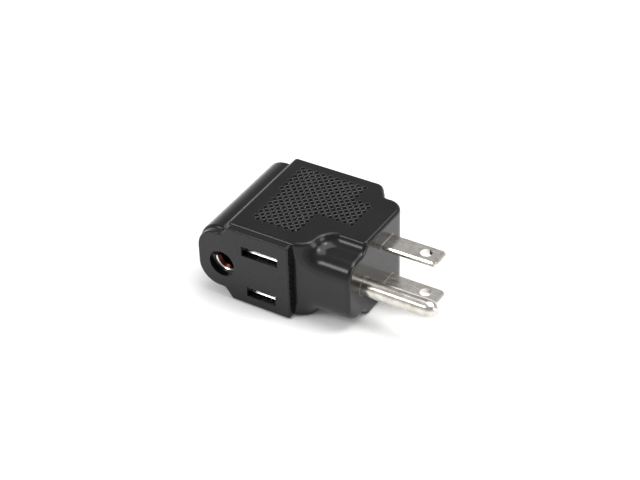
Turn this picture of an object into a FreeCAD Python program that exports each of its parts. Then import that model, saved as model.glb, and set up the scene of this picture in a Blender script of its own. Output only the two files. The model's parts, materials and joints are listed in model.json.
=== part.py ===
import FreeCAD, Part
import os
from math import cos, radians, sin, sqrt, tan
from FreeCAD import Vector

# Right angle plug adapter, lying on its flat side. Millimetres, +Z up.
# It is drawn about the centre of the socket's ground hole on the cover's face:
# +X is the way the blades point, +Y goes into the socket. It is moved to the
# centre of its own footprint when each piece is written.

# Standard spacing of plug and socket
POLE_SPACING = 12.7
GROUND_OFFSET = 11.9
HOT_Z = POLE_SPACING / 2
NEUTRAL_Z = -POLE_SPACING / 2

# Blades and ground pin
BLADE_WIDTH = 6.35
BLADE_THICK = 1.5
BLADE_REACH = 15.9
BLADE_TIP_R = 1.3
BLADE_TIP_CHAMFER = 0.35
BLADE_HOLE_R = 1.6
BLADE_HOLE_FROM_FACE = 11.4
BLADE_ROOT_DEPTH = 9.55
SHOULDER_WIDTH = 8.6
SHOULDER_LENGTH = 1.3
PIN_R = 2.38
PIN_REACH = 20.8
PIN_NOSE = 2.6
PIN_TIP_R = 1.0
PIN_ROOT_DEPTH = 10.25
PIN_COLLAR_R = 3.3
PIN_GROOVE_R = 2.0
PIN_GROOVE_CLEAR = 0.05

# Outside of the housing
BODY_BOTTOM = -10.8
BODY_TOP = 12.4
NOSE_BOTTOM = -7.85
NOSE_TOP = 9.85
NOSE_R = 6.4
SOCKET_NOSE_X = -7.65
PLUG_NOSE_BOTTOM = -7.85
PLUG_NOSE_TOP = 9.65
PLUG_FACE_X = 37.15
PIN_Y = 9.82
BLADE_Y = PIN_Y + GROUND_OFFSET
SHELL_FRONT_Y = 2.0
BACK_Y = 37.1
SHOULDER_SLOPE = 55
SHOULDER_R = 1.3
SHOULDER_TOP_X = 0.2
SHOULDER_BOTTOM_X = 0.4
SHELL_MARGIN = 0.5
LEFT_FLARE = 0.95
HALVES_OVERLAP = 2.0
SOCKET_SIDE_X = 20.9
SCOOP_LEFT_X = 24.8
SCOOP_BACK_Y = 11.8
SCOOP_CORNER_R = 5.0
SCOOP_BLEND_R = 3.6
SCOOP_RISE = 0.05
SCOOP_RIM_R = 5.2
HEAD_BACK_Y = 32.1
HEAD_BACK_R = 4.4
BACK_SLOPE_DEPTH = 9.65
BACK_SLOPE_R = 3.0
HEAD_SLOPE_DEPTH = 6.2
HEAD_SLOPE_R = 1.2
EDGE_R = 1.1

# Cover over the socket side
COVER_INSET = 0.3
COVER_CORNER_R = 1.1
COVER_EDGE_R = 0.45
SLOT_HEIGHT = 2.9
NEUTRAL_SLOT_WIDTH = 10.9
HOT_SLOT_WIDTH = 8.8
GROUND_HOLE_R = 3.8
SPIGOT_DEPTH = 0.3
COVER_BACK_Y = SHELL_FRONT_Y + SPIGOT_DEPTH

# Grip pattern of pits between crossing ridges
PIT_SPACING = 2.14
PIT_HALF_DIAGONAL = 0.86
PIT_DEPTH = 0.6
GRIP_LEFT = 3.9
GRIP_FRONT_LEFT = 5.2
GRIP_BACK = 34.0
GRIP_NOTCH_DEPTH = 12.05
GRIP_NOTCH_Y = 27.2
GRIP_RIGHT_DEPTH = 6.25
GRIP_HEAD_FRONT = 15.6
GRIP_SOCKET_RIGHT = 20.2
GRIP_FRONT = 6.2

# Room inside the housing
WALL = 2.0
ROOM_LEFT = 3.0
ROOM_RIGHT = 19.2
ROOM_BACK = 35.1
LEDGE = 0.6
LEDGE_Y = 13.4
HEAD_ROOM_LEFT = 17.0
HEAD_ROOM_FRONT = SCOOP_BACK_Y + WALL
HEAD_ROOM_BACK = 29.6
PIN_ROOT_ROOM = 0.9
PLUG_NOSE_ROOM_BACK = 14.6
PLUG_NOSE_ROOM_R = 4.0
ROOM_NOSE_R = 4.4
ROOM_BOTTOM = BODY_BOTTOM + WALL
ROOM_TOP = BODY_TOP - WALL
NOSE_ROOM_BOTTOM = NOSE_BOTTOM + WALL
NOSE_ROOM_TOP = NOSE_TOP - WALL
HEAD_WALL_X = PLUG_FACE_X - WALL
BLADE_CARRIER_THICK = 3.0
BLADE_CARRIER_X = HEAD_WALL_X - BLADE_CARRIER_THICK

# Clearances between mating pieces
CARRIER_CLEARANCE = 0.15
BLADE_OPENING_CLEARANCE = 0.1
CONTACT_SIDE_CLEARANCE = 0.1

# Socket contacts
CONTACT_THICK = 0.5
CONTACT_WIDTH = 10.6
CONTACT_MOUTH_Y = 3.2
CONTACT_LIP_Y = 2.4
CONTACT_LIP_SPREAD = 0.8
CONTACT_END_Y = 15.0
TAIL_WIDTH = 6.0
SLEEVE_INNER_R = 2.45
SLEEVE_THICK = 0.6
SLEEVE_MOUTH_Y = 3.35
SLEEVE_LIP_Y = 2.4
SLEEVE_LIP_R = 3.4
SLEEVE_END_Y = 15.0
SLEEVE_GAP_START = 118
SLEEVE_GAP_ANGLE = 62
SLEEVE_OUTER_R = SLEEVE_INNER_R + SLEEVE_THICK

# Conductors that join plug and socket
LINK_THICK = 0.8
LINK_BEND_R = 0.5
LINK_END_X = 8.9
LINK_BLADE_END_DEPTH = 6.15
HOT_BAND = (20.6, 24.6)
NEUTRAL_BAND = (15.0, 19.0)
LINK_BEND_GAP = 1.5
LINK_BEND_STEP = 1.8
BLADE_FACE = HOT_Z - BLADE_THICK / 2
CONTACT_FACE = HOT_Z - BLADE_THICK / 2 - CONTACT_THICK
GROUND_LINK_TOP = SLEEVE_THICK - SLEEVE_OUTER_R + LINK_THICK
GROUND_LINK_BACK = 29.2
GROUND_LINK_WIDTH = 3.6
GROUND_LEG_DEPTH = 9.75
GROUND_LEG_WIDTH = 3.2
GROUND_TAIL_HALF = 2.0
DIVIDER_Y = 19.4
DIVIDER_THICK = 0.8
DIVIDER_GAP = 0.7

# Rivets
RIVET_R = 0.9
RIVET_HEAD_R = 1.5
RIVET_HEAD = 0.5
BLADE_RIVET_DEPTH = 7.95
BLADE_RIVET_Y = 22.6
HOT_CONTACT_RIVET_Y = 22.6
NEUTRAL_CONTACT_RIVET_Y = 17.0
GROUND_PIN_RIVET_DEPTH = 8.15
GROUND_CONTACT_RIVET_Y = 27.4

# Places that follow from the plug face and the contacts
BLOCK_MIDDLE_X = (SHOULDER_TOP_X + SOCKET_SIDE_X) / 2
BLADE_ROOT_X = PLUG_FACE_X - BLADE_ROOT_DEPTH
PIN_ROOT_X = PLUG_FACE_X - PIN_ROOT_DEPTH
BACK_SLOPE_X = PLUG_FACE_X - BACK_SLOPE_DEPTH
HEAD_SLOPE_X = PLUG_FACE_X - HEAD_SLOPE_DEPTH
GRIP_NOTCH_X = PLUG_FACE_X - GRIP_NOTCH_DEPTH
GRIP_RIGHT = PLUG_FACE_X - GRIP_RIGHT_DEPTH
PLUG_NOSE_ROOM_LEFT = PIN_ROOT_X - PIN_ROOT_ROOM
LINK_BLADE_END_X = PLUG_FACE_X - LINK_BLADE_END_DEPTH
GROUND_LEG = (PLUG_FACE_X - GROUND_LEG_DEPTH, PLUG_FACE_X - GROUND_LEG_DEPTH + GROUND_LEG_WIDTH)
BLADE_RIVET = (PLUG_FACE_X - BLADE_RIVET_DEPTH, BLADE_RIVET_Y)
GROUND_PIN_RIVET_X = PLUG_FACE_X - GROUND_PIN_RIVET_DEPTH
HOT_BEND_X = GROUND_OFFSET + TAIL_WIDTH / 2 + LINK_BEND_GAP
NEUTRAL_BEND_X = HOT_BEND_X + LINK_BEND_STEP
DIVIDER_LEFT = HEAD_ROOM_LEFT
DIVIDER_RIGHT = BLADE_ROOT_X - DIVIDER_GAP

CENTRE_X = (SOCKET_NOSE_X - SHELL_MARGIN - LEFT_FLARE + PLUG_FACE_X + PIN_REACH) / 2
CENTRE_Y = BACK_Y / 2
FAR = 60.0
NEAR = 1e-4

PLANES = {
    "XY": lambda u, v, w: Vector(u, v, w),
    "XZ": lambda u, v, w: Vector(u, w, v),
    "YZ": lambda u, v, w: Vector(w, u, v),
}


def corner_points(before, corner, after):
    """Start, middle and end of the arc that rounds one corner."""
    point = Vector(corner[0], corner[1], 0)
    back = (Vector(before[0], before[1], 0) - point).normalize()
    ahead = (Vector(after[0], after[1], 0) - point).normalize()
    half = back.getAngle(ahead) / 2
    bisector = (back + ahead).normalize()
    radius = corner[2]
    run = radius / tan(half)
    middle = point + bisector * (radius / sin(half) - radius)
    return point + back * run, middle, point + ahead * run


def outline(plane, corners, level):
    """Closed wire through corners (u, v, radius) in a plane at a level."""
    place = PLANES[plane]
    count = len(corners)
    arcs = []
    for index, corner in enumerate(corners):
        before = corners[index - 1]
        after = corners[(index + 1) % count]
        if corner[2]:
            points = corner_points(before, corner, after)
        else:
            points = [Vector(corner[0], corner[1], 0)] * 3
        arcs.append([place(point.x, point.y, level) for point in points])
    edges = []
    for index, (start, middle, end) in enumerate(arcs):
        following = arcs[(index + 1) % count][0]
        if corners[index][2]:
            edges.append(Part.Arc(start, middle, end).toShape())
        if end.distanceToPoint(following) > NEAR:
            edges.append(Part.makeLine(end, following))
    return Part.Wire(edges)


def prism(plane, corners, start, end):
    """Outline in a plane, made solid from one level to another."""
    face = Part.Face(outline(plane, corners, start))
    return face.extrude(PLANES[plane](0, 0, end - start))


def rectangle(u0, u1, v0, v1, radius=0):
    return [(u0, v0, radius), (u1, v0, radius), (u1, v1, radius), (u0, v1, radius)]


def box(x0, x1, y0, y1, z0, z1):
    return prism("XY", rectangle(x0, x1, y0, y1), z0, z1)


def cylinder_y(radius, x, z, y0, y1):
    return Part.makeCylinder(radius, y1 - y0, Vector(x, y0, z), Vector(0, 1, 0))


def slope_run(rise):
    return rise / tan(radians(SHOULDER_SLOPE))


def socket_corners(right, corner_r, margin):
    """Outline seen from the socket side: a rounded nose beside a taller block."""
    nose = SOCKET_NOSE_X - margin
    upper = SHOULDER_TOP_X - margin
    lower = SHOULDER_BOTTOM_X - margin
    return [
        (nose, NOSE_BOTTOM, NOSE_R),
        (lower, NOSE_BOTTOM, SHOULDER_R),
        (lower + slope_run(NOSE_BOTTOM - BODY_BOTTOM), BODY_BOTTOM, SHOULDER_R),
        (right, BODY_BOTTOM, corner_r),
        (right, BODY_TOP, corner_r),
        (upper + slope_run(BODY_TOP - NOSE_TOP), BODY_TOP, SHOULDER_R),
        (upper, NOSE_TOP, SHOULDER_R),
        (nose, NOSE_TOP, NOSE_R),
    ]


def socket_part():
    """Socket's side of the housing, its left side running outward to the back."""
    right = BLOCK_MIDDLE_X + HALVES_OVERLAP
    front = Part.Face(outline("XZ", socket_corners(right, 0, SHELL_MARGIN), SHELL_FRONT_Y))
    return front.extrude(Vector(-LEFT_FLARE, BACK_Y - SHELL_FRONT_Y, 0))


def head_plan():
    """Plan of the block from its middle to the plug face."""
    return [
        (BLOCK_MIDDLE_X, SHELL_FRONT_Y, 0),
        (PLUG_FACE_X, SHELL_FRONT_Y, 0),
        (PLUG_FACE_X, HEAD_BACK_Y, HEAD_BACK_R),
        (HEAD_SLOPE_X, HEAD_BACK_Y, HEAD_SLOPE_R),
        (BACK_SLOPE_X, BACK_Y, BACK_SLOPE_R),
        (BLOCK_MIDDLE_X, BACK_Y, 0),
    ]


def scoop_floor(y):
    """Level of the upper scoop's floor, which rises to the back."""
    return PLUG_NOSE_TOP + SCOOP_RISE * (y - SHELL_FRONT_Y)


def scoop():
    """Room of the upper scoop: open to the front and the plug face, rounded below."""
    front = SHELL_FRONT_Y - EDGE_R
    right = PLUG_FACE_X + EDGE_R
    over = BODY_TOP + SCOOP_BLEND_R
    plan = [
        (SCOOP_LEFT_X, front, 0), (right, front, 0),
        (right, SCOOP_BACK_Y, 0), (SCOOP_LEFT_X, SCOOP_BACK_Y, SCOOP_CORNER_R),
    ]
    side = [
        (front, scoop_floor(front), 0), (SCOOP_BACK_Y, scoop_floor(SCOOP_BACK_Y), 0),
        (SCOOP_BACK_Y, over, 0), (front, over, 0),
    ]
    room = prism("XY", plan, 0, over).common(prism("YZ", side, 0, right))
    rounded = [edge for edge in room.Edges if on_scoop_floor(edge) and not on_open_side(edge, front, right)]
    return room.makeFillet(SCOOP_BLEND_R, rounded)


def on_scoop_floor(edge):
    return all(abs(vertex.Z - scoop_floor(vertex.Y)) < NEAR for vertex in edge.Vertexes)


def on_open_side(edge, front, right):
    bounds = edge.BoundBox
    return bounds.YMax < front + NEAR or bounds.XMin > right - NEAR


def turned_over(shape):
    """Copy of an upper form for the underside, about the plug nose's middle."""
    middle = Vector(0, 0, (PLUG_NOSE_BOTTOM + PLUG_NOSE_TOP) / 2)
    return shape.mirror(middle, Vector(0, 0, 1))


def rim_edges(body):
    """Edges where the scoops meet the front face."""
    found = []
    for edge in body.Edges:
        bounds = edge.BoundBox
        in_front = bounds.YMax < SHELL_FRONT_Y + NEAR
        past_cover = bounds.XMin > SCOOP_LEFT_X - NEAR
        inside = bounds.XMin < PLUG_FACE_X - NEAR
        below_top = bounds.ZMin < BODY_TOP - NEAR and bounds.ZMax > BODY_BOTTOM + NEAR
        if in_front and past_cover and inside and below_top:
            found.append(edge)
    return found


def outer_edges(body):
    """Sharp edges round the front, the back, the plug face, the top and the bottom."""
    limits = (
        ("YMin", "YMax", SHELL_FRONT_Y),
        ("YMin", "YMax", BACK_Y),
        ("XMin", "XMax", PLUG_FACE_X),
        ("ZMin", "ZMax", BODY_TOP),
        ("ZMin", "ZMax", BODY_BOTTOM),
    )
    found = []
    for edge in body.Edges:
        bounds = edge.BoundBox
        for low, high, level in limits:
            flat = abs(getattr(bounds, low) - level) < NEAR and abs(getattr(bounds, high) - level) < NEAR
            if flat and sharp(body, edge):
                found.append(edge)
                break
    return found


def sharp(body, edge):
    """True where the two faces beside an edge meet at an angle."""
    faces = body.ancestorsOfType(edge, Part.Face)
    middle = edge.valueAt((edge.FirstParameter + edge.LastParameter) / 2)
    normals = []
    for face in faces:
        u, v = face.Surface.parameter(middle)
        normals.append(face.normalAt(u, v))
    return len(normals) == 2 and normals[0].getAngle(normals[1]) > radians(5)


def outer_form():
    """Outside of the housing before it is hollowed."""
    head = prism("XY", head_plan(), BODY_BOTTOM, BODY_TOP)
    body = socket_part().fuse(head).removeSplitter()
    body = body.cut([scoop(), turned_over(scoop())])
    body = body.makeFillet(SCOOP_RIM_R, rim_edges(body))
    return body.makeFillet(EDGE_R, outer_edges(body))


def grip_holds(x, y):
    """True where a pit's centre lies inside the stepped grip field."""
    toward_front = (GRIP_BACK - y) / (GRIP_BACK - GRIP_FRONT)
    left = GRIP_LEFT + (GRIP_FRONT_LEFT - GRIP_LEFT) * toward_front
    on_socket = left < x < GRIP_SOCKET_RIGHT and GRIP_FRONT < y < GRIP_BACK
    on_step = left < x < GRIP_NOTCH_X and GRIP_HEAD_FRONT < y < GRIP_BACK
    on_head = left < x < GRIP_RIGHT and GRIP_HEAD_FRONT < y < GRIP_NOTCH_Y
    return on_socket or on_step or on_head


def pit(x, y, face_z, inward):
    """Four sided pit that narrows to a point below a face."""
    overrun = 0.1
    reach = PIT_HALF_DIAGONAL * (PIT_DEPTH + overrun) / PIT_DEPTH
    level = face_z - inward * overrun
    rim = [
        Vector(x + reach, y, level), Vector(x, y + reach, level),
        Vector(x - reach, y, level), Vector(x, y - reach, level),
    ]
    point = Vector(x, y, face_z + inward * PIT_DEPTH)
    faces = [Part.Face(Part.makePolygon(rim + [rim[0]]))]
    for index in range(4):
        side = [rim[index], rim[(index + 1) % 4], point, rim[index]]
        faces.append(Part.Face(Part.makePolygon(side)))
    solid = Part.Solid(Part.Shell(faces))
    if solid.Volume < 0:
        solid.reverse()
    return solid


def grip_pits(face_z, inward):
    """Staggered rows of pits, the ridges left between them crossing at 45 degrees."""
    pits = []
    row = 0
    y = GRIP_FRONT + PIT_SPACING / 2
    while y < GRIP_BACK:
        x = GRIP_LEFT + PIT_SPACING / 2 + (row % 2) * PIT_SPACING / 2
        while x < GRIP_RIGHT:
            margin = PIT_HALF_DIAGONAL / 2
            corners = [(x + dx, y + dy) for dx in (-margin, margin) for dy in (-margin, margin)]
            if all(grip_holds(*corner) for corner in corners):
                pits.append(pit(x, y, face_z, inward))
            x += PIT_SPACING
        y += PIT_SPACING / 2
        row += 1
    return pits


def room_outline(clearance, ledge):
    """Block and nose of the socket room's section, less a clearance."""
    block = rectangle(
        ROOM_LEFT + clearance, ROOM_RIGHT - clearance,
        ROOM_BOTTOM + ledge + clearance, ROOM_TOP - ledge - clearance)
    radius = ROOM_NOSE_R - clearance
    left = SOCKET_NOSE_X + WALL + clearance
    low = NOSE_ROOM_BOTTOM + clearance
    high = NOSE_ROOM_TOP - clearance
    inside_block = ROOM_LEFT + WALL
    nose = [(left, low, radius), (inside_block, low, 0), (inside_block, high, 0), (left, high, radius)]
    return block, nose


def room_prism(clearance, ledge, start, end):
    block, nose = room_outline(clearance, ledge)
    return prism("XZ", block, start, end).fuse(prism("XZ", nose, start, end)).removeSplitter()


def plug_nose_room_corners(clearance):
    front = SHELL_FRONT_Y + WALL + clearance
    radius = PLUG_NOSE_ROOM_R - clearance
    low = PLUG_NOSE_BOTTOM + WALL + clearance
    high = PLUG_NOSE_TOP - WALL - clearance
    return [
        (front, low, radius),
        (PLUG_NOSE_ROOM_BACK, low, 0),
        (PLUG_NOSE_ROOM_BACK, high, 0),
        (front, high, radius),
    ]


def housing():
    """Moulded shell: socket nose, block, plug head, scoops, grip field and rooms."""
    body = outer_form()
    front_room = room_prism(0, 0, SHELL_FRONT_Y, LEDGE_Y)
    rear_room = room_prism(0, LEDGE, LEDGE_Y, ROOM_BACK)
    head_room = box(
        HEAD_ROOM_LEFT, HEAD_WALL_X, HEAD_ROOM_FRONT, HEAD_ROOM_BACK, ROOM_BOTTOM, ROOM_TOP)
    nose_room = prism("YZ", plug_nose_room_corners(0), PLUG_NOSE_ROOM_LEFT, HEAD_WALL_X)
    body = body.cut(front_room.fuse([rear_room, head_room, nose_room]))
    openings = [plug_opening(HOT_Z), plug_opening(NEUTRAL_Z), pin_opening()]
    body = body.cut(openings)
    return body.cut(grip_pits(BODY_TOP, -1) + grip_pits(BODY_BOTTOM, 1))


def plug_opening(z):
    half_width = BLADE_WIDTH / 2 + BLADE_OPENING_CLEARANCE
    half_thick = BLADE_THICK / 2 + BLADE_OPENING_CLEARANCE
    return box(
        HEAD_WALL_X - 1, PLUG_FACE_X + 1, BLADE_Y - half_width, BLADE_Y + half_width,
        z - half_thick, z + half_thick)


def pin_opening():
    radius = PIN_R + BLADE_OPENING_CLEARANCE
    return Part.makeCylinder(
        radius, WALL + 2, Vector(HEAD_WALL_X - 1, PIN_Y, 0), Vector(1, 0, 0))


def slot(z, width, start, end):
    return box(
        GROUND_OFFSET - width / 2, GROUND_OFFSET + width / 2, start, end,
        z - SLOT_HEIGHT / 2, z + SLOT_HEIGHT / 2)


def socket_cover():
    """Cover plate with its two slots, ground hole and shallow spigot."""
    wire = outline("XZ", socket_corners(SOCKET_SIDE_X, COVER_CORNER_R, 0), 0)
    face = Part.Face(wire).makeOffset2D(-COVER_INSET)
    plate = face.extrude(Vector(0, SHELL_FRONT_Y, 0))
    front = [edge for edge in plate.Edges if edge.BoundBox.YMax < NEAR]
    plate = plate.makeFillet(COVER_EDGE_R, front)
    spigot = room_prism(CARRIER_CLEARANCE, 0, SHELL_FRONT_Y, COVER_BACK_Y)
    holes = [
        slot(NEUTRAL_Z * -1, NEUTRAL_SLOT_WIDTH, -1, COVER_BACK_Y + 1),
        slot(HOT_Z * -1, HOT_SLOT_WIDTH, -1, COVER_BACK_Y + 1),
        cylinder_y(GROUND_HOLE_R, 0, 0, -1, COVER_BACK_Y + 1),
    ]
    return plate.fuse(spigot).cut(holes)


def contact_pocket(z):
    """Room for one contact, its mouth flared to clear the lips."""
    half = BLADE_THICK / 2 + CONTACT_THICK
    mouth = half + 2 * CONTACT_LIP_SPREAD
    corners = [
        (COVER_BACK_Y - 1, z - mouth, 0), (COVER_BACK_Y, z - mouth, 0),
        (CONTACT_MOUTH_Y, z - half, 0), (LEDGE_Y + 1, z - half, 0),
        (LEDGE_Y + 1, z + half, 0), (CONTACT_MOUTH_Y, z + half, 0),
        (COVER_BACK_Y, z + mouth, 0), (COVER_BACK_Y - 1, z + mouth, 0),
    ]
    side = CONTACT_WIDTH / 2 + CONTACT_SIDE_CLEARANCE
    return prism("YZ", corners, GROUND_OFFSET - side, GROUND_OFFSET + side)


def sleeve_pocket():
    flare = SLEEVE_LIP_R + SLEEVE_THICK + CONTACT_SIDE_CLEARANCE
    cone = Part.makeCone(
        flare, SLEEVE_OUTER_R, SLEEVE_MOUTH_Y - COVER_BACK_Y,
        Vector(0, COVER_BACK_Y, 0), Vector(0, 1, 0))
    return cone.fuse(cylinder_y(SLEEVE_OUTER_R, 0, 0, SLEEVE_MOUTH_Y, LEDGE_Y))


def contact_carrier():
    """Insulating block behind the cover that holds the three socket contacts."""
    block = room_prism(CARRIER_CLEARANCE, 0, COVER_BACK_Y, LEDGE_Y)
    return block.cut([contact_pocket(HOT_Z), contact_pocket(NEUTRAL_Z), sleeve_pocket()])


def blade_carrier():
    """Insulating plate inside the plug face that the blades and pin pass through."""
    gap = CARRIER_CLEARANCE
    head = rectangle(
        HEAD_ROOM_FRONT + gap, HEAD_ROOM_BACK - gap, ROOM_BOTTOM + gap, ROOM_TOP - gap)
    plate = prism("YZ", head, BLADE_CARRIER_X, HEAD_WALL_X)
    nose = prism("YZ", plug_nose_room_corners(gap), BLADE_CARRIER_X, HEAD_WALL_X)
    holes = [
        box(BLADE_CARRIER_X - 1, HEAD_WALL_X + 1, BLADE_Y - BLADE_WIDTH / 2,
            BLADE_Y + BLADE_WIDTH / 2, z - BLADE_THICK / 2, z + BLADE_THICK / 2)
        for z in (HOT_Z, NEUTRAL_Z)
    ]
    holes.append(Part.makeCylinder(
        PIN_R, BLADE_CARRIER_THICK + 2, Vector(BLADE_CARRIER_X - 1, PIN_Y, 0), Vector(1, 0, 0)))
    return plate.fuse(nose).removeSplitter().cut(holes)


def blade(z):
    """Plug blade with rounded tip corners, cross hole, shoulders and rivet hole."""
    tip = PLUG_FACE_X + BLADE_REACH
    low = BLADE_Y - BLADE_WIDTH / 2
    high = BLADE_Y + BLADE_WIDTH / 2
    corners = [(BLADE_ROOT_X, low, 0), (tip, low, BLADE_TIP_R),
               (tip, high, BLADE_TIP_R), (BLADE_ROOT_X, high, 0)]
    strip = prism("XY", corners, z - BLADE_THICK / 2, z + BLADE_THICK / 2)
    tip_edges = [
        edge for edge in strip.Edges
        if edge.BoundBox.XMin > tip - NEAR and edge.BoundBox.ZMax - edge.BoundBox.ZMin < NEAR
    ]
    strip = strip.makeChamfer(BLADE_TIP_CHAMFER, tip_edges)
    shoulders = box(
        BLADE_CARRIER_X - SHOULDER_LENGTH, BLADE_CARRIER_X, BLADE_Y - SHOULDER_WIDTH / 2,
        BLADE_Y + SHOULDER_WIDTH / 2, z - BLADE_THICK / 2, z + BLADE_THICK / 2)
    hole_x = PLUG_FACE_X + BLADE_HOLE_FROM_FACE
    cross_hole = Part.makeCylinder(BLADE_HOLE_R, 2 * BLADE_THICK, Vector(hole_x, BLADE_Y, z - BLADE_THICK))
    return strip.fuse(shoulders).removeSplitter().cut([cross_hole, rivet_hole(*BLADE_RIVET)])


def rivet_hole(x, y):
    return Part.makeCylinder(RIVET_R, FAR, Vector(x, y, -FAR / 2))


def ground_pin():
    """Round pin with a bullet nose, a groove in the plug face, a collar and a flat tang."""
    tip = PLUG_FACE_X + PIN_REACH
    start = tip - PIN_NOSE
    narrowing = PIN_R - PIN_TIP_R
    nose_r = (narrowing ** 2 + PIN_NOSE ** 2) / (2 * narrowing)
    half_way = PIN_NOSE / 2
    bend_y = PIN_Y + PIN_R - nose_r + sqrt(nose_r ** 2 - half_way ** 2)
    bend = Vector(start + half_way, bend_y, 0)
    half_section = Part.Wire([
        Part.makeLine(Vector(PIN_ROOT_X, PIN_Y, 0), Vector(PIN_ROOT_X, PIN_Y + PIN_R, 0)),
        Part.makeLine(Vector(PIN_ROOT_X, PIN_Y + PIN_R, 0), Vector(start, PIN_Y + PIN_R, 0)),
        Part.Arc(Vector(start, PIN_Y + PIN_R, 0), bend, Vector(tip, PIN_Y + PIN_TIP_R, 0)).toShape(),
        Part.makeLine(Vector(tip, PIN_Y + PIN_TIP_R, 0), Vector(tip, PIN_Y, 0)),
        Part.makeLine(Vector(tip, PIN_Y, 0), Vector(PIN_ROOT_X, PIN_Y, 0)),
    ])
    pin = Part.Face(half_section).revolve(Vector(0, PIN_Y, 0), Vector(1, 0, 0), 360)
    collar = Part.makeCylinder(
        PIN_COLLAR_R, SHOULDER_LENGTH,
        Vector(BLADE_CARRIER_X - SHOULDER_LENGTH, PIN_Y, 0), Vector(1, 0, 0))
    tang_end = BLADE_CARRIER_X - SHOULDER_LENGTH
    flats = [
        box(PIN_ROOT_X - 1, tang_end, PIN_Y - FAR / 2, PIN_Y + FAR / 2, low, high)
        for low, high in ((-FAR / 2, GROUND_LINK_TOP), (-GROUND_LINK_TOP, FAR / 2))
    ]
    cuts = flats + [pin_groove(), rivet_hole(GROUND_PIN_RIVET_X, PIN_Y)]
    return pin.fuse(collar).removeSplitter().cut(cuts)


def pin_groove():
    """Ring cut from the pin where it passes the plug face, ending just clear of it."""
    start = Vector(HEAD_WALL_X, PIN_Y, 0)
    length = WALL + PIN_GROOVE_CLEAR
    around = Part.makeCylinder(PIN_COLLAR_R, length, start, Vector(1, 0, 0))
    return around.cut(Part.makeCylinder(PIN_GROOVE_R, length, start, Vector(1, 0, 0)))


def contact(z, inward, rivet_y, tail_end):
    """Two spring leaves joined by a web, with flared lips and a riveted tail."""
    leaf = BLADE_THICK / 2
    outer = leaf + CONTACT_THICK
    side = CONTACT_WIDTH / 2
    left = GROUND_OFFSET - side
    right = GROUND_OFFSET + side
    pieces = []
    for sign in (1, -1):
        profile = [
            (CONTACT_LIP_Y, z + sign * (leaf + CONTACT_LIP_SPREAD), 0),
            (CONTACT_MOUTH_Y, z + sign * leaf, 0),
            (CONTACT_END_Y, z + sign * leaf, 0),
            (CONTACT_END_Y, z + sign * outer, 0),
            (CONTACT_MOUTH_Y, z + sign * outer, 0),
            (CONTACT_LIP_Y, z + sign * (outer + CONTACT_LIP_SPREAD), 0),
        ]
        pieces.append(prism("YZ", profile, left, right))
    web = box(left, right, CONTACT_END_Y - CONTACT_THICK, CONTACT_END_Y, z - outer, z + outer)
    levels = sorted((z + inward * leaf, z + inward * outer))
    tail = box(
        GROUND_OFFSET - TAIL_WIDTH / 2, GROUND_OFFSET + TAIL_WIDTH / 2,
        CONTACT_END_Y - CONTACT_THICK, tail_end, levels[0], levels[1])
    whole = pieces[0].fuse([pieces[1], web, tail]).removeSplitter()
    return whole.cut(rivet_hole(GROUND_OFFSET, rivet_y))


def sleeve_sector(start, sweep):
    """Wedge about the sleeve's axis, for the gap along its side."""
    angles = [radians(start + sweep * step / 2) for step in range(3)]
    points = [Vector(0, 0, 0)]
    points += [Vector(2 * NOSE_R * cos(angle), 0, 2 * NOSE_R * sin(angle)) for angle in angles]
    wedge = Part.Face(Part.makePolygon(points + [points[0]]))
    return wedge.extrude(Vector(0, SLEEVE_END_Y + 1, 0))


def ground_contact():
    """Split sleeve with a flared lip and a flat tail that runs to the back."""
    length = SLEEVE_MOUTH_Y - SLEEVE_LIP_Y
    base = Vector(0, SLEEVE_LIP_Y, 0)
    lip = Part.makeCone(SLEEVE_LIP_R + SLEEVE_THICK, SLEEVE_OUTER_R, length, base, Vector(0, 1, 0))
    barrel = cylinder_y(SLEEVE_OUTER_R, 0, 0, SLEEVE_MOUTH_Y, SLEEVE_END_Y)
    flare = Part.makeCone(SLEEVE_LIP_R, SLEEVE_INNER_R, length, base, Vector(0, 1, 0))
    bore = cylinder_y(SLEEVE_INNER_R, 0, 0, SLEEVE_MOUTH_Y, SLEEVE_END_Y)
    sleeve = lip.fuse(barrel).cut([flare, bore, sleeve_sector(SLEEVE_GAP_START, SLEEVE_GAP_ANGLE)])
    tail = box(
        -GROUND_TAIL_HALF, GROUND_TAIL_HALF, LEDGE_Y, GROUND_LINK_BACK,
        -SLEEVE_OUTER_R, -SLEEVE_INNER_R)
    return sleeve.fuse(tail).cut([bore, rivet_hole(0, GROUND_CONTACT_RIVET_Y)])


def crossing_link(sign, bend_x, band, contact_y):
    """Bent strip from a blade on one side to the contact on the other side."""
    blade_outer = sign * BLADE_FACE
    blade_inner = sign * (BLADE_FACE - LINK_THICK)
    contact_outer = -sign * CONTACT_FACE
    contact_inner = -sign * (CONTACT_FACE - LINK_THICK)
    wide_r = LINK_BEND_R + LINK_THICK
    corners = [
        (LINK_BLADE_END_X, blade_inner, 0),
        (LINK_BLADE_END_X, blade_outer, 0),
        (bend_x, blade_outer, wide_r),
        (bend_x, contact_inner, LINK_BEND_R),
        (LINK_END_X, contact_inner, 0),
        (LINK_END_X, contact_outer, 0),
        (bend_x + LINK_THICK, contact_outer, wide_r),
        (bend_x + LINK_THICK, blade_inner, LINK_BEND_R),
    ]
    strip = prism("XZ", corners, band[0], band[1])
    levels = sorted((blade_outer, blade_inner))
    pad = box(BLADE_ROOT_X, LINK_BLADE_END_X, band[0], HOT_BAND[1], levels[0], levels[1])
    holes = [rivet_hole(*BLADE_RIVET), rivet_hole(GROUND_OFFSET, contact_y)]
    return strip.fuse(pad).removeSplitter().cut(holes)


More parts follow.
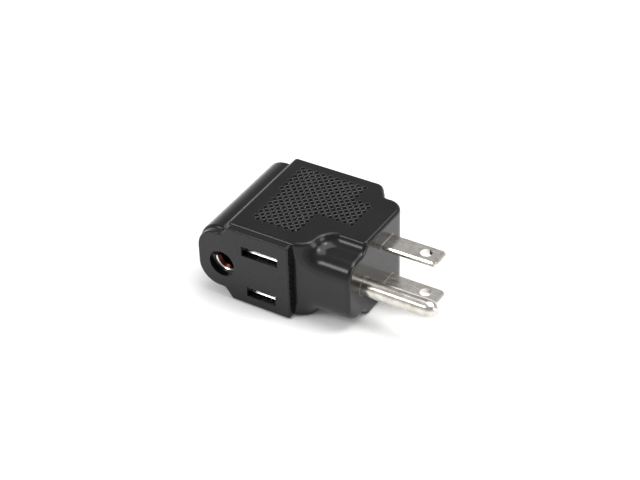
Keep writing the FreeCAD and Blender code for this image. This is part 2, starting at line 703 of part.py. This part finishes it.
def ground_link():
    """Flat angled strip from the pin's tang to the sleeve's tail."""
    bottom = GROUND_LINK_TOP - LINK_THICK
    leg = box(
        GROUND_LEG[0], GROUND_LEG[1], PIN_Y - PIN_R, GROUND_LINK_BACK, bottom, GROUND_LINK_TOP)
    run = box(
        -GROUND_TAIL_HALF, GROUND_LEG[1], GROUND_LINK_BACK - GROUND_LINK_WIDTH,
        GROUND_LINK_BACK, bottom, GROUND_LINK_TOP)
    holes = [rivet_hole(GROUND_PIN_RIVET_X, PIN_Y), rivet_hole(0, GROUND_CONTACT_RIVET_Y)]
    return leg.fuse(run).removeSplitter().cut(holes)


def divider():
    """Insulating wall between the two crossing strips."""
    return box(
        DIVIDER_LEFT, DIVIDER_RIGHT, DIVIDER_Y, DIVIDER_Y + DIVIDER_THICK,
        ROOM_BOTTOM, ROOM_TOP)


def rivet(x, y, low, high):
    """Shank and two flat heads that clamp a stack between two levels."""
    shank = Part.makeCylinder(RIVET_R, high - low, Vector(x, y, low))
    under = Part.makeCylinder(RIVET_HEAD_R, RIVET_HEAD, Vector(x, y, low - RIVET_HEAD))
    over = Part.makeCylinder(RIVET_HEAD_R, RIVET_HEAD, Vector(x, y, high))
    return shank.fuse([under, over])


def blade_rivets():
    inner = BLADE_FACE - LINK_THICK
    outer = BLADE_FACE + BLADE_THICK
    return Part.makeCompound([
        rivet(*BLADE_RIVET, inner, outer),
        rivet(*BLADE_RIVET, -outer, -inner),
    ])


def contact_rivets():
    inner = CONTACT_FACE - LINK_THICK
    outer = CONTACT_FACE + CONTACT_THICK
    return Part.makeCompound([
        rivet(GROUND_OFFSET, NEUTRAL_CONTACT_RIVET_Y, inner, outer),
        rivet(GROUND_OFFSET, HOT_CONTACT_RIVET_Y, -outer, -inner),
    ])


def pieces():
    """Every separate piece of the adapter, by name."""
    return {
        "housing": housing(),
        "socket_cover": socket_cover(),
        "contact_carrier": contact_carrier(),
        "blade_carrier": blade_carrier(),
        "divider": divider(),
        "hot_blade": blade(HOT_Z),
        "neutral_blade": blade(NEUTRAL_Z),
        "ground_pin": ground_pin(),
        "hot_contact": contact(-HOT_Z, 1, HOT_CONTACT_RIVET_Y, HOT_BAND[1]),
        "neutral_contact": contact(-NEUTRAL_Z, -1, NEUTRAL_CONTACT_RIVET_Y, NEUTRAL_BAND[1]),
        "ground_contact": ground_contact(),
        "hot_link": crossing_link(1, HOT_BEND_X, HOT_BAND, HOT_CONTACT_RIVET_Y),
        "neutral_link": crossing_link(-1, NEUTRAL_BEND_X, NEUTRAL_BAND, NEUTRAL_CONTACT_RIVET_Y),
        "ground_link": ground_link(),
        "blade_rivets": blade_rivets(),
        "contact_rivets": contact_rivets(),
        "ground_pin_rivet": rivet(
            GROUND_PIN_RIVET_X, PIN_Y, GROUND_LINK_TOP - LINK_THICK, -GROUND_LINK_TOP),
        "ground_contact_rivet": rivet(
            0, GROUND_CONTACT_RIVET_Y, -SLEEVE_OUTER_R, GROUND_LINK_TOP),
    }


os.makedirs("parts", exist_ok=True)
for name, shape in pieces().items():
    shape.translate(Vector(-CENTRE_X, -CENTRE_Y, -BODY_BOTTOM))
    shape.exportStep("parts/" + name + ".step")
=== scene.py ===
import json
from math import cos, radians, sin

import bpy
from mathutils import Matrix, Vector


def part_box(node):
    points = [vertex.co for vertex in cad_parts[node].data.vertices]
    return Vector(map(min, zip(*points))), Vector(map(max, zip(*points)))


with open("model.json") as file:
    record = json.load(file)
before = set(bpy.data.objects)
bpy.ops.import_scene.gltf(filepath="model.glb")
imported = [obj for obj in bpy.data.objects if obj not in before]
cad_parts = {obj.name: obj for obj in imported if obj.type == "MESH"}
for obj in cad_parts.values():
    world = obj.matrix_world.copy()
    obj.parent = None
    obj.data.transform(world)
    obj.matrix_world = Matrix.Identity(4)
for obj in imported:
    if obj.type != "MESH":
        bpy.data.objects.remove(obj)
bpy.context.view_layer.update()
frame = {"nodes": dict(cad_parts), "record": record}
scene = bpy.context.scene

MILLIMETRE = 0.001

# The photo's camera, placed from the centre of the ground hole on the cover's face.
# Offset and nearest distance in metres, angles in degrees, sensor in millimetres.
CAMERA_OFFSET = Vector((0.18765, -0.25035, 0.23215))
CAMERA_NEAREST = 0.01
CAMERA_AZIMUTH = 32.13
CAMERA_ELEVATION = 35.87
CAMERA_ROLL = -1.64
FOCAL_PIXELS = 1491
FRAME_WIDTH_PIXELS = 640
SENSOR_WIDTH = 36.0

# Rays that the nodes which look around a point send out
EDGE_SAMPLES = 6
OPENNESS_SAMPLES = 8

# Sockets of the mix node when it mixes colours
MIX_FACTOR = 0
MIX_FIRST = 6
MIX_SECOND = 7
MIX_RESULT = 2

# Where a noise is taken as low and as high
NOISE_LOW = 0.3
NOISE_HIGH = 0.7

# Moulded plastic. Reaches and depths are in millimetres.
FLOW_PER_MM = 0.12
FLOW_DEPTH = 0.02
FLOW_STRENGTH = 0.3
GLOSS_PER_MM = 2.6
GRAIN_PER_MM = 9.0
GRAIN_STRENGTH = 0.5
# Thin ridges and edges, found by occlusion from inside, are painted a paler grey: a painted highlight.
RIDGE_REACH = 0.4
RIDGE_RANGE = (0.55, 0.87)
PAINTED_HIGHLIGHT_GREY = 0.42
# Pits, found by occlusion, get more roughness and a lower specular level; the lower specular level is
# painted shade.
PIT_REACH = 0.9
PIT_EXTRA_ROUGHNESS = 0.5
PIT_ROUGHNESS_RANGE = (0.35, 0.9)
OPEN_SPECULAR = 0.5
PIT_SPECULAR_RANGE = (0.7, 0.98)
PLASTIC_IOR = 1.38

# Plated metal. Depths are in millimetres.
STREAK_STRETCH = 0.06
STREAKS_PER_MM = 3.0
STREAK_STRENGTH = 0.4
BLOTCHES_PER_MM = 0.45
WORN_RANGE = (0.42, 0.72)
SPECKS_PER_MM = 7.0
SPECK_DEPTH = 0.004
SPECK_STRENGTH = 0.3

# Where the ground contact turns from its silvery lip to a near-black red-brown inside, from its front
# in mm: the darkness is painted shade in the hole, the red-brown is the metal's own
LIP_FADE_START = 0.1
LIP_FADE_END = 0.3

# Pieces whose finish differs a little from the rest of their slot: the cover is a little rougher and
# has no painted highlight on ridges and edges, and the pin's nickel is a darker copy, which is painted
# shade, with a browner worn tone of its own
OWN_LOOKS = {"socket_cover": "cover_gloss", "ground_pin": "pin_nickel_shaded"}

# Floor, with its width in metres
FLOOR_WIDTH = 6.0
PAPER_TONES = (0.93, 0.96)
PAPER_ROUGHNESS = 0.9
TOOTH_PER_MM = 0.8
TOOTH_DEPTH = 0.01
TOOTH_STRENGTH = 0.2

# Grey of the room by height, from the horizon and below (0) to straight up (1)
ROOM_TONES = ((0.0, 1.0), (0.2, 0.9), (0.5, 0.4), (0.8, 0.55), (1.0, 0.9))

# Lights: name, the way to it, its distance and size in metres, and its power in watts
LIGHTS = (
    ("front_left", (-0.43, -0.585, 0.685), 1.0, (0.5, 0.2), 3),
    ("overhead", (0.25, 0.35, 1.0), 1.2, (1.2, 1.2), 12),
    ("right", (0.95, 0.1, 0.35), 1.1, (0.5, 0.5), 3),
    ("key", (0.47, 0.15, 0.87), 1.1, (0.35, 0.3), 3),
)


def grey(level):
    return (level, level, level)


def material(name):
    """New node material, with its tree and its shader."""
    made = bpy.data.materials.new(name)
    made.use_nodes = True
    tree = made.node_tree
    shader = tree.nodes["Principled BSDF"]
    return made, tree, shader


def object_position(tree, stretch=(1, 1, 1)):
    """Place on the object in millimetres, stretched along its axes."""
    coordinates = tree.nodes.new("ShaderNodeTexCoord")
    mapping = tree.nodes.new("ShaderNodeMapping")
    mapping.inputs["Scale"].default_value = [share / MILLIMETRE for share in stretch]
    tree.links.new(coordinates.outputs["Object"], mapping.inputs["Vector"])
    return mapping.outputs["Vector"]


def noise(tree, position, per_mm, detail, roughness):
    """Soft noise with a number of features per millimetre, from 0 to 1."""
    node = tree.nodes.new("ShaderNodeTexNoise")
    node.inputs["Scale"].default_value = per_mm
    node.inputs["Detail"].default_value = detail
    node.inputs["Roughness"].default_value = roughness
    tree.links.new(position, node.inputs["Vector"])
    return node.outputs["Fac"]


def between(tree, factor, low, high, start=NOISE_LOW, end=NOISE_HIGH):
    """Number that runs from low to high as the factor runs from start to end."""
    node = tree.nodes.new("ShaderNodeMapRange")
    node.inputs["From Min"].default_value = start
    node.inputs["From Max"].default_value = end
    node.inputs["To Min"].default_value = low
    node.inputs["To Max"].default_value = high
    tree.links.new(factor, node.inputs["Value"])
    return node.outputs["Result"]


def colours(tree, factor, stops):
    """Colour that follows the factor through stops (place, colour)."""
    node = tree.nodes.new("ShaderNodeValToRGB")
    ramp = node.color_ramp
    while len(ramp.elements) < len(stops):
        ramp.elements.new(0.5)
    for element, (place, colour) in zip(ramp.elements, stops):
        element.position = place
        element.color = (*colour, 1)
    tree.links.new(factor, node.inputs["Fac"])
    return node.outputs["Color"]


def soft_edges(tree, radius):
    """Surface direction with the sharp edges rounded by a radius in mm."""
    node = tree.nodes.new("ShaderNodeBevel")
    node.samples = EDGE_SAMPLES
    node.inputs["Radius"].default_value = radius * MILLIMETRE
    return node.outputs["Normal"]


def openness(tree, reach, inside=False):
    """How open a point is within a reach in mm: low in pits, or inside on thin ridges."""
    node = tree.nodes.new("ShaderNodeAmbientOcclusion")
    node.samples = OPENNESS_SAMPLES
    node.only_local = True
    node.inside = inside
    node.inputs["Distance"].default_value = reach * MILLIMETRE
    return node.outputs["AO"]


def mixed(tree, factor, first, second):
    """Colour that runs from the first one to a fixed second one."""
    node = tree.nodes.new("ShaderNodeMix")
    node.data_type = "RGBA"
    tree.links.new(factor, node.inputs[MIX_FACTOR])
    tree.links.new(first, node.inputs[MIX_FIRST])
    node.inputs[MIX_SECOND].default_value = (*second, 1)
    return node.outputs[MIX_RESULT]


def sum_of(tree, first, second):
    """Sum of two numbers, held between 0 and 1."""
    node = tree.nodes.new("ShaderNodeMath")
    node.operation = "ADD"
    node.use_clamp = True
    tree.links.new(first, node.inputs[0])
    tree.links.new(second, node.inputs[1])
    return node.outputs["Value"]


def bump(tree, shader, layers, previous=None):
    """Surface relief from layers (height, depth in mm, strength), coarse to fine."""
    for height, depth, strength in layers:
        node = tree.nodes.new("ShaderNodeBump")
        node.inputs["Distance"].default_value = depth * MILLIMETRE
        node.inputs["Strength"].default_value = strength
        tree.links.new(height, node.inputs["Height"])
        if previous:
            tree.links.new(previous, node.inputs["Normal"])
        previous = node.outputs["Normal"]
    tree.links.new(previous, shader.inputs["Normal"])


def moulded_plastic(name, dark, light, roughness, grain_depth, edge=0.12, ridge_highlight=0.0):
    """Moulded plastic: faint flow tones, uneven gloss, fine grain, rougher pits with painted shade,
    perhaps a painted highlight on thin ridges and edges.
    """
    made, tree, shader = material(name)
    position = object_position(tree)
    flow = noise(tree, position, FLOW_PER_MM, detail=3, roughness=0.5)
    fine = noise(tree, position, GLOSS_PER_MM, detail=4, roughness=0.6)
    grain = noise(tree, position, GRAIN_PER_MM, detail=2, roughness=0.5)
    tone = colours(tree, flow, [(NOISE_LOW, dark), (NOISE_HIGH, light)])
    # Paler grey on thin ridges and edges: a painted highlight.
    if ridge_highlight:
        ridges = openness(tree, RIDGE_REACH, inside=True)
        painted_ridge_highlight = between(tree, ridges, ridge_highlight, 0.0, *RIDGE_RANGE)
        tone = mixed(tree, painted_ridge_highlight, tone, grey(PAINTED_HIGHLIGHT_GREY))
    tree.links.new(tone, shader.inputs["Base Color"])
    hollow = openness(tree, PIT_REACH)
    gloss = between(tree, fine, *roughness)
    dulled = between(tree, hollow, PIT_EXTRA_ROUGHNESS, 0.0, *PIT_ROUGHNESS_RANGE)
    tree.links.new(sum_of(tree, gloss, dulled), shader.inputs["Roughness"])
    # Lower specular level in the pits: painted shade.
    pit_shaded_specular = between(tree, hollow, 0.0, OPEN_SPECULAR, *PIT_SPECULAR_RANGE)
    tree.links.new(pit_shaded_specular, shader.inputs["Specular IOR Level"])
    layers = [(flow, FLOW_DEPTH, FLOW_STRENGTH), (grain, grain_depth, GRAIN_STRENGTH)]
    bump(tree, shader, layers, soft_edges(tree, edge))
    shader.inputs["IOR"].default_value = PLASTIC_IOR
    return made


def shaded_red_brown_inside(tree, position, tone, inner, front):
    """Tone that turns to the inner one a little behind a front, given as Y in mm: a near-black
    red-brown, painted shade inside the hole with the metal's own tint.
    """
    split = tree.nodes.new("ShaderNodeSeparateXYZ")
    tree.links.new(position, split.inputs["Vector"])
    start = front + LIP_FADE_START
    end = front + LIP_FADE_END
    return mixed(tree, between(tree, split.outputs["Y"], 0.0, 1.0, start, end), tone, inner)


def plated_metal(name, bright, worn, roughness, along, streak_depth, inner=None, front=0.0):
    """Plated metal: streaks along an axis, worn spots, uneven gloss, perhaps a near-black inside that
    is painted shade.
    """
    made, tree, shader = material(name)
    stretch = [STREAK_STRETCH if axis == along else 1.0 for axis in "XYZ"]
    position = object_position(tree)
    streaked = object_position(tree, stretch)
    streaks = noise(tree, streaked, STREAKS_PER_MM, detail=5, roughness=0.6)
    blotches = noise(tree, position, BLOTCHES_PER_MM, detail=4, roughness=0.6)
    specks = noise(tree, position, SPECKS_PER_MM, detail=2, roughness=0.5)
    tone = colours(tree, blotches, list(zip(WORN_RANGE, (bright, worn))))
    if inner:
        tone = shaded_red_brown_inside(tree, position, tone, inner, front)
    tree.links.new(tone, shader.inputs["Base Color"])
    tree.links.new(between(tree, streaks, *roughness), shader.inputs["Roughness"])
    layers = [(streaks, streak_depth, STREAK_STRENGTH), (specks, SPECK_DEPTH, SPECK_STRENGTH)]
    bump(tree, shader, layers)
    shader.inputs["Metallic"].default_value = 1.0
    return made


def all_looks():
    """Every finish of the adapter, by name."""
    plastics = {
        # The housing's thin ridges and edges get a painted highlight.
        "black_gloss": dict(
            dark=grey(0.004), light=grey(0.007), roughness=(0.16, 0.24), grain_depth=0.006,
            edge=0.2, ridge_highlight=0.9),
        "cover_gloss": dict(
            dark=grey(0.004), light=grey(0.007), roughness=(0.2, 0.3), grain_depth=0.006,
            edge=0.18),
        # Black plastic, a little darker than the outside black: the extra darkness is painted shade
        # that deepens the slots' insides.
        "black_inner": dict(
            dark=grey(0.003), light=grey(0.005), roughness=(0.45, 0.6), grain_depth=0.012),
        "fibre": dict(
            dark=(0.2, 0.17, 0.13), light=(0.28, 0.24, 0.19), roughness=(0.6, 0.8),
            grain_depth=0.03),
    }
    metals = {
        "nickel": dict(
            bright=(0.8, 0.78, 0.74), worn=(0.64, 0.59, 0.5), roughness=(0.12, 0.3),
            along="X", streak_depth=0.006),
        # The pin's nickel is darker than the blades': painted shade, with a browner worn tone of its
        # own.
        "pin_nickel_shaded": dict(
            bright=(0.62, 0.6, 0.56), worn=(0.42, 0.37, 0.3), roughness=(0.12, 0.26),
            along="X", streak_depth=0.006),
        "contact_plated": dict(
            bright=(0.92, 0.92, 0.91), worn=(0.84, 0.83, 0.81), roughness=(0.25, 0.4),
            along="Y", streak_depth=0.004),
        # The ground contact's inside is a near-black red-brown: painted shade with the metal's own
        # tint.
        "contact_brass": dict(
            bright=(0.9, 0.89, 0.87), worn=(0.8, 0.78, 0.74), roughness=(0.16, 0.3),
            along="Y", streak_depth=0.004, inner=(0.045, 0.012, 0.006),
            front=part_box("ground_contact")[0].y / MILLIMETRE),
        "link_brass": dict(
            bright=(0.66, 0.5, 0.27), worn=(0.5, 0.36, 0.18), roughness=(0.25, 0.4),
            along="X", streak_depth=0.005),
    }
    looks = {name: moulded_plastic(name, **finish) for name, finish in plastics.items()}
    looks.update({name: plated_metal(name, **finish) for name, finish in metals.items()})
    return looks


def dress():
    """Give every piece its finish."""
    looks = all_looks()
    for entry in frame["record"]["subparts"]:
        piece = frame["nodes"][entry["node"]]
        look = OWN_LOOKS.get(entry["node"], entry["material_slot"])
        piece.data.materials.clear()
        piece.data.materials.append(looks[look])


def floor_material():
    """Pale matt paper with a hardly visible tooth."""
    made, tree, shader = material("pale_floor")
    tooth = noise(tree, object_position(tree), TOOTH_PER_MM, detail=4, roughness=0.6)
    low, high = PAPER_TONES
    paper = colours(tree, tooth, [(NOISE_LOW, grey(low)), (NOISE_HIGH, grey(high))])
    tree.links.new(paper, shader.inputs["Base Color"])
    shader.inputs["Roughness"].default_value = PAPER_ROUGHNESS
    bump(tree, shader, [(tooth, TOOTH_DEPTH, TOOTH_STRENGTH)])
    return made


def floor():
    """Plain floor under the adapter, which isn't part of it."""
    bpy.ops.mesh.primitive_plane_add(size=FLOOR_WIDTH, location=(0, 0, 0))
    plane = bpy.context.object
    plane.name = "floor"
    plane.data.materials.append(floor_material())


def soft_light(name, towards, distance, size, power):
    """Rectangular light that shines on the adapter from a direction."""
    data = bpy.data.lights.new(name, "AREA")
    data.shape = "RECTANGLE"
    data.size, data.size_y = size
    data.energy = power
    light = bpy.data.objects.new(name, data)
    scene.collection.objects.link(light)
    way = Vector(towards).normalized()
    light.location = way * distance
    light.rotation_mode = "QUATERNION"
    light.rotation_quaternion = way.to_track_quat("Z", "Y")


def surroundings():
    """Room that is pale at the horizon and straight up, and darkest part way up."""
    world = bpy.data.worlds.new("room")
    world.use_nodes = True
    scene.world = world
    tree = world.node_tree
    coordinates = tree.nodes.new("ShaderNodeTexCoord")
    split = tree.nodes.new("ShaderNodeSeparateXYZ")
    tree.links.new(coordinates.outputs["Generated"], split.inputs["Vector"])
    stops = [(height, grey(level)) for height, level in ROOM_TONES]
    background = tree.nodes["Background"]
    tree.links.new(colours(tree, split.outputs["Z"], stops), background.inputs["Color"])
    background.inputs["Strength"].default_value = 1.0


def camera():
    """Camera with the photo's place, turn and focal length."""
    mounts = {mount["name"]: Vector(mount["pos_m"]) for mount in frame["record"]["mounts"]}
    hole = mounts["ground_socket"]
    cover_face = mounts["hot_slot"].y
    origin = Vector((hole.x, cover_face, hole.z))
    azimuth = radians(CAMERA_AZIMUTH)
    elevation = radians(CAMERA_ELEVATION)
    roll = radians(CAMERA_ROLL)
    level = Vector((cos(azimuth), sin(azimuth), 0))
    ahead = Vector((
        -sin(azimuth) * cos(elevation), cos(azimuth) * cos(elevation), -sin(elevation)))
    upright = level.cross(ahead)
    right = level * cos(roll) + upright * sin(roll)
    up = upright * cos(roll) - level * sin(roll)
    data = bpy.data.cameras.new("camera")
    data.sensor_width = SENSOR_WIDTH
    data.lens = SENSOR_WIDTH * FOCAL_PIXELS / FRAME_WIDTH_PIXELS
    data.clip_start = CAMERA_NEAREST
    seen_from = bpy.data.objects.new("camera", data)
    scene.collection.objects.link(seen_from)
    turn = Matrix((right, up, -ahead)).transposed().to_4x4()
    seen_from.matrix_world = Matrix.Translation(origin + CAMERA_OFFSET) @ turn
    scene.camera = seen_from


dress()
floor()
surroundings()
for light in LIGHTS:
    soft_light(*light)
camera()
scene.view_settings.view_transform = "Standard"
